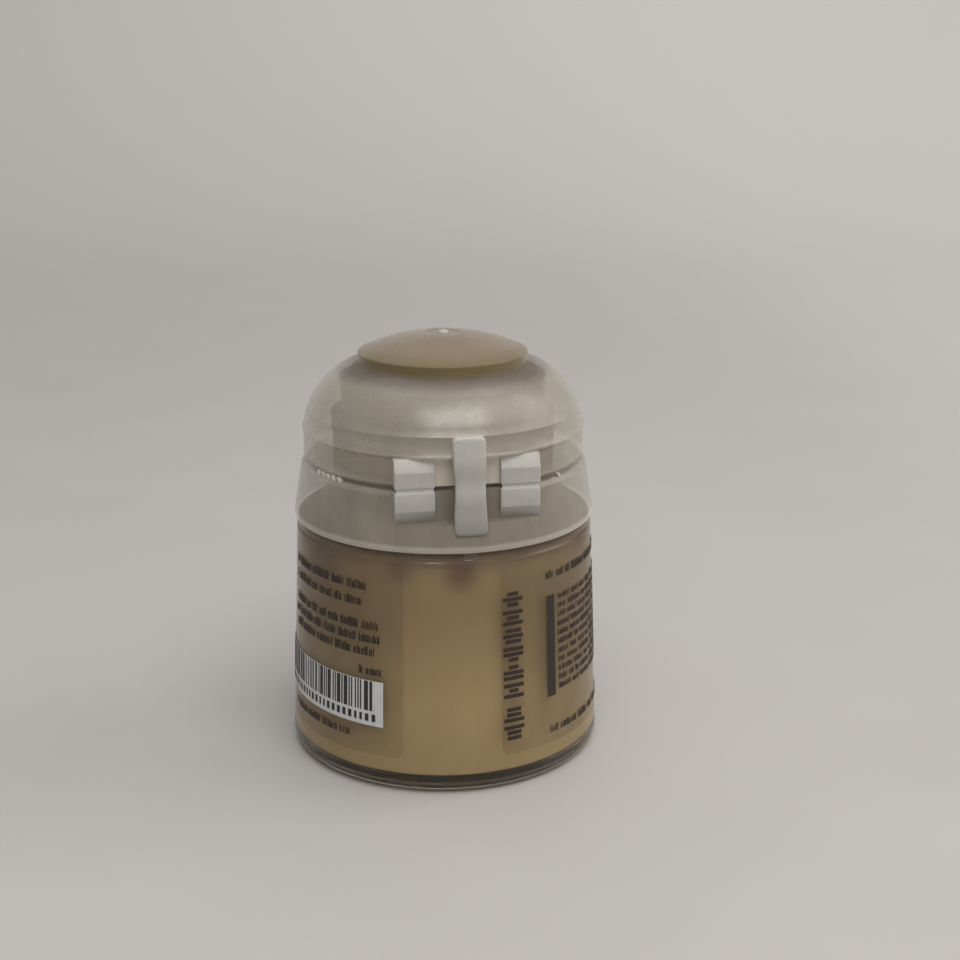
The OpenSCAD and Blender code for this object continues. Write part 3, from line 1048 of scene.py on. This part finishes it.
# Torn bridge stubs in the seam
stub_bm = bmesh.new()
stub_rand = random.Random(3)
STUB_TURN = 1.6  # degrees that each stub takes up
for a in STUB_ANGLES:
    lean = stub_rand.uniform(0.9, 1.3)  # degrees that its torn end leans over
    low, high = COLLAR_HIGH - 0.12, COLLAR_HIGH + 0.38
    ring = []
    for z, r0, r1, turn in ((low, 14.3, 14.86, 0.0), (high, 14.38, 14.8, lean)):
        for r, dt in ((r0, 0.0), (r1, 0.0), (r1, -STUB_TURN), (r0, -STUB_TURN)):
            ring.append(stub_bm.verts.new(around(a - turn + dt + STUB_TURN / 2, r, z)))
    stub_bm.faces.new(ring[:4])
    stub_bm.faces.new(ring[4:])
    for k in range(4):
        n = (k + 1) % 4
        stub_bm.faces.new((ring[k], ring[n], ring[4 + n], ring[4 + k]))
stubs = make_object("torn_stubs", stub_bm, tab_plastic("stub_whitened_polypropylene"))
soften(stubs, 0.05)
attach(stubs, "pot")
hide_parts("bridge_stubs")

# ---------------------------------------------------------------- the lid


def crown_z(r, inset=0.0):
    """Height of the well's crowned top at a radius, or of a skin set in from it."""
    return TOP_Z - CROWN_R + math.sqrt((CROWN_R - inset) ** 2 - r * r)


def dome_point(z, lift=0.0):
    """A point on the lid's outer skin at a height, lifted outwards a little."""
    return (DOME_X + math.sqrt((DOME_R + lift) ** 2 - (z - DOME_Z) ** 2), z)


def lid_outline():
    """Half-section of the lid: skirt, two faint ridges, dome, well with its gate pad, inside."""
    outer = [
        (LID_R - 0.28, LID_LOW, 0.08),
        (LID_R, LID_LOW + 0.28, 0.12),
        (LID_R, 33.6),
        (LID_R, DOME_Z),
    ]
    for low, high, lift in ((35.0, 35.4, 0.1), (37.0, 37.3, 0.03)):  # the two ridges
        middle = (low + high) / 2
        outer.append(dome_point(low))
        outer.append((*dome_point(low + 0.1, lift), 0.04))
        outer.append((*dome_point(middle, lift * 1.15), 0.04))
        outer.append((*dome_point(high - 0.1, lift), 0.04))
        outer.append(dome_point(high))
    join = math.degrees(math.asin((WELL_SIDE_LOW - DOME_Z) / DOME_R))
    outer += arc(DOME_X, DOME_Z, DOME_R, 26, join, 22)
    outer += [
        (WELL_R - 0.02, WELL_SIDE_LOW + 0.02),
        (WELL_R, WELL_SIDE_HIGH, 0.22),
    ]
    for r in (8.0, 7.0, 6.0, 5.0, 4.0, 3.0, 2.2):
        outer.append((r, crown_z(r)))
    outer += [(1.8, crown_z(1.8)), (1.7, TOP_Z - 0.13), (1.0, TOP_Z - 0.1), (0, TOP_Z - 0.1)]
    inner = [(0, crown_z(0, CROWN_WALL))]
    for r in (2.0, 4.0, 6.0, 7.0):
        inner.append((r, crown_z(r, CROWN_WALL)))
    well_in = WELL_R - CROWN_WALL
    inner += [(well_in, crown_z(well_in, CROWN_WALL), 0.2)]
    for q in reversed(arc(DOME_X, DOME_Z, DOME_R - LID_WALL, 4, 80, 20)):
        if q[0] > WELL_R - 1.05:
            inner.append(q)
    inner += [(LID_R - LID_WALL, 33.2), (LID_R - LID_WALL, LID_LOW, 0.15)]
    return rounded(outer + inner)


lid_outer_solid = [
    (0, LID_LOW),
    (LID_R - 0.3, LID_LOW),
    (LID_R - 0.06, LID_LOW + 0.3),
    (LID_R - 0.06, DOME_Z),
] + arc(DOME_X, DOME_Z, DOME_R - 0.06, 3, 50, 12) + [(0, DOME_Z + 5.8)]
lid = make_object("lid_dome", turned(lid_outline()), M_LID)
combine(
    lid,
    box_mesh(-POCKET_HALF, POCKET_HALF, POCKET_Y, OUTSIDE, BELOW, POCKET_HIGH),
    "DIFFERENCE",
)
lid_plates = make_object("lid_plates", turned(lid_outer_solid), M_LID)
combine(
    lid_plates,
    prism(
        [
            (POCKET_Y - POCKET_WALL, BELOW),
            (POCKET_Y, BELOW),
            (POCKET_Y, POCKET_HIGH),
            (OUTSIDE, POCKET_HIGH),
            (OUTSIDE, POCKET_HIGH + 0.9),
            (POCKET_Y - POCKET_WALL, POCKET_HIGH + 0.9),
        ],
        "x",
        -side_half,
        side_half,
    ),
    "INTERSECT",
)
merge(lid, lid_plates, "UNION")
soften(lid, 0.1)
line_inside(lid, inner_skin("lid_inside_polypropylene"), (0, 0, 34))
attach(lid, "lid")
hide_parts("lid_shell")

# Sealing plug, its rim flange, and the paint held against it
plug = make_object(
    "plug_ring",
    turned(
        rounded(
            [
                (PLUG_INNER_R, 40.9),
                (PLUG_INNER_R, RIM_Z + 1.0, 0.3),
                (9.5, RIM_Z - 0.9, 0.15),
                (10.0, RIM_Z - 0.9, 0.15),
                (PLUG_R, RIM_Z + 0.05, 0.2),
                (FLANGE_R, RIM_Z + 0.05, 0.12),
                (FLANGE_R, RIM_Z + 0.4, 0.1),
                (11.7, RIM_Z + 0.5, 0.1),
                (11.7, RIM_Z + 1.4, 0.1),
                (FLANGE_R, RIM_Z + 1.5, 0.1),
                (FLANGE_R, RIM_Z + 1.8, 0.12),
                (PLUG_R, RIM_Z + 1.8, 0.25),
                (PLUG_R, 40.42),
            ]
        )
    ),
    M_PLUG,
    40,
)
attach(plug, "lid")
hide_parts("seal_plug")

M_LID_STAIN = stain_material("paint_lid_stain", linear(104, 82, 54), linear(84, 62, 38))
lid_stain = make_object(
    "lid_stain",
    turned(
        [(r, crown_z(r, CROWN_WALL) + 0.1) for r in (0, 2, 4, 6, 7.4)]
        + [(7.95, 42.5), (7.95, 42.2), (8.3, 40.95), (9.9, 40.62), (9.97, 39.0), (9.97, 36.2)]
        + [(9.9, 36.2), (9.9, 39.0), (9.8, 40.45), (8.2, 40.75), (7.7, 42.1)]
        + [(r, crown_z(r, CROWN_WALL) - 0.06) for r in (7.2, 6, 4, 2, 0)]
    ),
    M_LID_STAIN,
    40,
)
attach(lid_stain, "lid")

# Thumb tab, with two grip grooves
tab_bm = bmesh.new()
TAB_PIECES = 24
tab_points = []
for k in range(TAB_PIECES + 1):
    x = -TAB_HALF + 2 * TAB_HALF * k / TAB_PIECES
    tab_points.append((x, -(TAB_REACH - TAB_R) - math.sqrt(max(0, TAB_R**2 - x * x))))
tab_points += [(TAB_HALF, -13.95), (0, -14.7), (-TAB_HALF, -13.95)]
low, high = [], []
for x, y in tab_points:
    low.append(tab_bm.verts.new((x, y, LID_LOW + 0.02)))
    high.append(tab_bm.verts.new((x, y, LID_LOW + 1.28)))
n = len(tab_points)
for k in range(n):
    after = (k + 1) % n
    tab_bm.faces.new((low[k], low[after], high[after], high[k]))
tab_bm.faces.new(list(reversed(low)))
tab_bm.faces.new(high)
tab = make_object("thumb_grip", tab_bm, tab_plastic("tab_frosted_polypropylene"))
for z in (LID_LOW + 0.42, LID_LOW + 0.86):
    groove = box_mesh(-3.0, 3.0, -20, -16.35, z - 0.09, z + 0.09)
    combine(tab, groove, "DIFFERENCE")
soften(tab, 0.12)
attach(tab, "lid")
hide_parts("thumb_tab")

# Moulding gate on the crown
gate = make_object(
    "gate_mark",
    turned(
        rounded(
            [
                (0, TOP_Z - 0.15),
                (0.62, TOP_Z - 0.15),
                (0.5, TOP_Z + 0.12, 0.06),
                (0.2, TOP_Z + 0.14),
                (0, TOP_Z + 0.12),
            ]
        ),
        lambda r, z, a: (0.05 * math.sin(3 * a) * r, 0.02 * math.sin(2 * a) if z > TOP_Z else 0),
        steps=48,
    ),
    M_STRAP,
)
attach(gate, "lid")
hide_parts("gate_nub")

# ---------------------------------------------------------------- straps


def leaf(name, side, outline, node, body):
    """A hinge leaf: its outline from the side, pulled across its width and rounded."""
    bm = prism(rounded(outline, 0.0, 4), "x", LEAF_IN * side, LEAF_OUT * side)
    obj = make_object(name, bm, M_STRAP)
    soften(obj, 0.16, segments=3)
    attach(obj, body)
    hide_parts(node)


FILM_PIECES = 12
PINCH_REACH = 0.325  # the film is thinned this far from the seam
for side, word in ((-1, "left"), (1, "right")):
    leaf(
        f"leaf_low_{word}",
        side,
        [
            (12.9, COLLAR_HIGH),
            (LEAF_Y, COLLAR_HIGH, 0.1),
            (LEAF_Y + 0.02, LEAF_LOW + 1.3, 0.25),
            (POCKET_Y - 0.02, LEAF_LOW + 0.02),
            (12.9, LEAF_LOW + 0.02),
        ],
        f"leaf_lower_{word}",
        "pot",
    )
    leaf(
        f"leaf_top_{word}",
        side,
        [
            (12.7, LID_LOW),
            (12.7, LEAF_HIGH - 0.02),
            (POCKET_Y - 0.02, LEAF_HIGH - 0.02),
            (LEAF_Y + 0.02, LEAF_HIGH - 1.3, 0.25),
            (LEAF_Y, LID_LOW, 0.1),
        ],
        f"leaf_upper_{word}",
        "lid",
    )
    # The thin film between the two leaves, along the hinge's fold line
    film_bm = bmesh.new()
    rings = []
    x0, x1 = side * (LEAF_IN + 0.12), side * (LEAF_OUT - 0.12)
    for k in range(FILM_PIECES + 1):
        z = COLLAR_HIGH - 0.1 + (LID_LOW - COLLAR_HIGH + 0.2) * k / FILM_PIECES
        pinch = 0
        if abs(z - SEAM_Z) < PINCH_REACH:
            pinch = 0.09 * math.cos((z - SEAM_Z) / PINCH_REACH * math.pi / 2) ** 2
        y0, y1 = LEAF_Y - FILM_T + pinch * 0.5, LEAF_Y - 0.03 - pinch
        corners = ((x0, y0, z), (x1, y0, z), (x1, y1, z), (x0, y1, z))
        rings.append([film_bm.verts.new(p) for p in corners])
    for k in range(FILM_PIECES):
        for q in range(4):
            r = (q + 1) % 4
            film_bm.faces.new((rings[k][q], rings[k][r], rings[k + 1][r], rings[k + 1][q]))
    film_bm.faces.new(rings[0])
    film_bm.faces.new(list(reversed(rings[-1])))
    hinge = make_object(f"hinge_web_{word}", film_bm, M_STRAP)
    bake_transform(hinge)
    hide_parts(f"hinge_film_{word}")


# Centre strap: waisted, round-ended, one piece from collar to dome
def strap_y(z):
    """How far out the strap's outer face is at a height."""
    if z < SEAM_Z:
        t = (z - STRAP_LOW) / (SEAM_Z - STRAP_LOW)
        return STRAP_LOW_Y + (STRAP_MID_Y - STRAP_LOW_Y) * t - 0.05 * math.sin(math.pi * t)
    t = (z - SEAM_Z) / (STRAP_HIGH - SEAM_Z)
    return STRAP_MID_Y + (STRAP_HIGH_Y - STRAP_MID_Y) * t**1.15


def strap_half(z):
    """Half the strap's width: round at the ends and a little narrower in the middle."""
    waist = 0.16 * math.exp(-(((z - SEAM_Z) / 1.9) ** 2))
    half = STRAP_W / 2 - waist
    room = min(z - STRAP_LOW, STRAP_HIGH - z)
    r = 0.55
    if room < r:
        half -= r - math.sqrt(max(0.0, r * r - (r - room) ** 2))
    return half


strap_bm = bmesh.new()
levels = [STRAP_LOW + up for up in (0.02, 0.08, 0.2, 0.35, 0.55)]
z = STRAP_LOW + 0.8
while z < STRAP_HIGH - 0.7:
    levels.append(z)
    z += 0.22
levels += [STRAP_HIGH - down for down in (0.55, 0.35, 0.2, 0.08, 0.02)]
rings = []
edge = 0.14
for z in levels:
    half, y = strap_half(z), strap_y(z)
    rooted = max(0.0, 1 - (z - STRAP_LOW) / 1.1) + max(0.0, 1 - (STRAP_HIGH - z) / 2.2)
    depth = STRAP_T + 0.7 * min(1.0, 1.6 * rooted)
    near_end = min(z - STRAP_LOW, STRAP_HIGH - z)
    top = y - 0.16 * max(0.0, 1 - near_end / 0.3) ** 2
    rings.append(
        [
            strap_bm.verts.new(p)
            for p in (
                (-half, y - depth, z),
                (half, y - depth, z),
                (half, top - edge, z),
                (half - edge * 0.35, top - edge * 0.35, z),
                (half - edge, top, z),
                (half * 0.4, top + 0.015, z),
                (-half * 0.4, top + 0.015, z),
                (-half + edge, top, z),
                (-half + edge * 0.35, top - edge * 0.35, z),
                (-half, top - edge, z),
            )
        ]
    )
for k in range(len(rings) - 1):
    for q in range(10):
        r = (q + 1) % 10
        strap_bm.faces.new((rings[k][q], rings[k][r], rings[k + 1][r], rings[k + 1][q]))
strap_bm.faces.new(rings[0])
strap_bm.faces.new(list(reversed(rings[-1])))
strap = make_object("centre_strap", strap_bm, M_STRAP, 50)
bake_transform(strap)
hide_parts("spring_strap", "strap_root_lower", "strap_root_upper")

# ---------------------------------------------------------------- the studio

floor_bm = bmesh.new()
# A sweep: a flat floor in front of the camera, which curves up far behind the jar
TURN = math.radians(PHOTO_AZIMUTH)
AWAY = Vector((-math.sin(TURN), math.cos(TURN), 0))
SIDE = Vector((math.cos(TURN), math.sin(TURN), 0))
FLAT_END, SWEEP_R = 330, 300
profile = [(-1400.0, 0.0), (FLAT_END, 0.0)]
for k in range(1, 13):
    a = math.radians(90 * k / 12)
    profile.append((FLAT_END + SWEEP_R * math.sin(a), SWEEP_R - SWEEP_R * math.cos(a)))
profile.append((FLAT_END + SWEEP_R, 1500))
grid = []
for d, h in profile:
    row = []
    for s in (-1500, 1500):
        q = AWAY * d + SIDE * s
        row.append(floor_bm.verts.new((q.x, q.y, h)))
    grid.append(row)
for k in range(len(grid) - 1):
    floor_bm.faces.new((grid[k][0], grid[k][1], grid[k + 1][1], grid[k + 1][0]))


def floor_material():
    """Pale paper, with painted light: lighter far away and towards the -X side."""
    m = Nodes("studio_paper")
    cloud = m.noise(0.05, 3, 0.5)
    paper = m.ramp(cloud, [(0.3, linear(167, 163, 159)), (0.7, linear(169, 165, 161))])
    # Painted light on the far floor and the backdrop
    far = m.span(m.radius_mm(), 150, 600, 0.0, 1.0)
    across = m.position_mm("X")
    # Painted light towards the -X side
    side = m.span(across, -220, 220, 1.0, 0.0)
    beside = m.span(across, -210, -70, 0.9, 0.0)
    paper = m.mix(beside, paper, linear(184, 180, 175))
    m.colour(m.mix(far, paper, m.mix(side, linear(190, 186, 180), linear(206, 202, 197))))
    m.roughness(m.span(cloud, 0.3, 0.7, 0.55, 0.65))
    m.bump(m.noise(1.5, 4), 0.05, 0.03)
    return m.material


floor = make_object("studio_floor", floor_bm, floor_material(), 60)


def area(name, at, size, power, colour):
    """A rectangular light that faces the middle of the jar."""
    light = bpy.data.lights.new(name, "AREA")
    light.shape = "RECTANGLE"
    light.size, light.size_y = size[0] * MM, size[1] * MM
    light.energy = power
    light.color = colour
    obj = bpy.data.objects.new(name, light)
    obj.location = Vector(at) * MM
    aim = Vector((0, 0, 22)) * MM - obj.location
    obj.rotation_euler = aim.to_track_quat("-Z", "Y").to_euler()
    bpy.context.scene.collection.objects.link(obj)


def stand(right, back, up):
    """A place by its distance to the camera's right, away from the camera, and up."""
    q = SIDE * right + AWAY * back
    return (q.x, q.y, up)


area("key_soft", stand(70, -270, 430), (420, 260), 1.65, (1.0, 0.985, 0.965))
area("right_soft", stand(420, 40, 330), (360, 360), 1.0, (1.0, 0.975, 0.945))
area("overhead", stand(0, 140, 620), (700, 700), 1.35, (1.0, 0.985, 0.965))

world = bpy.data.worlds.new("studio_air")
bpy.context.scene.world = world
world.use_nodes = True
background = world.node_tree.nodes["Background"]
background.inputs["Color"].default_value = (0.89, 0.94, 1.0, 1)
background.inputs["Strength"].default_value = 0.5

camera_data = bpy.data.cameras.new("camera")
camera = bpy.data.objects.new("camera", camera_data)
bpy.context.scene.collection.objects.link(camera)
camera_data.sensor_width = 36
camera_data.lens = 60.75
camera_data.clip_start = 0.005
DISTANCE, EYE_HEIGHT = 166.78, 77.28
PITCH, YAW = math.radians(16.24), math.radians(1.34)
forward = (AWAY * math.cos(YAW) + SIDE * math.sin(YAW)) * math.cos(PITCH) - Vector(
    (0, 0, math.sin(PITCH))
)
camera.location = (-AWAY * DISTANCE + Vector((0, 0, EYE_HEIGHT))) * MM
camera.rotation_euler = forward.to_track_quat("-Z", "Y").to_euler()
bpy.context.scene.camera = camera
bpy.context.scene.view_settings.view_transform = "Standard"
bpy.context.scene.view_settings.look = "None"
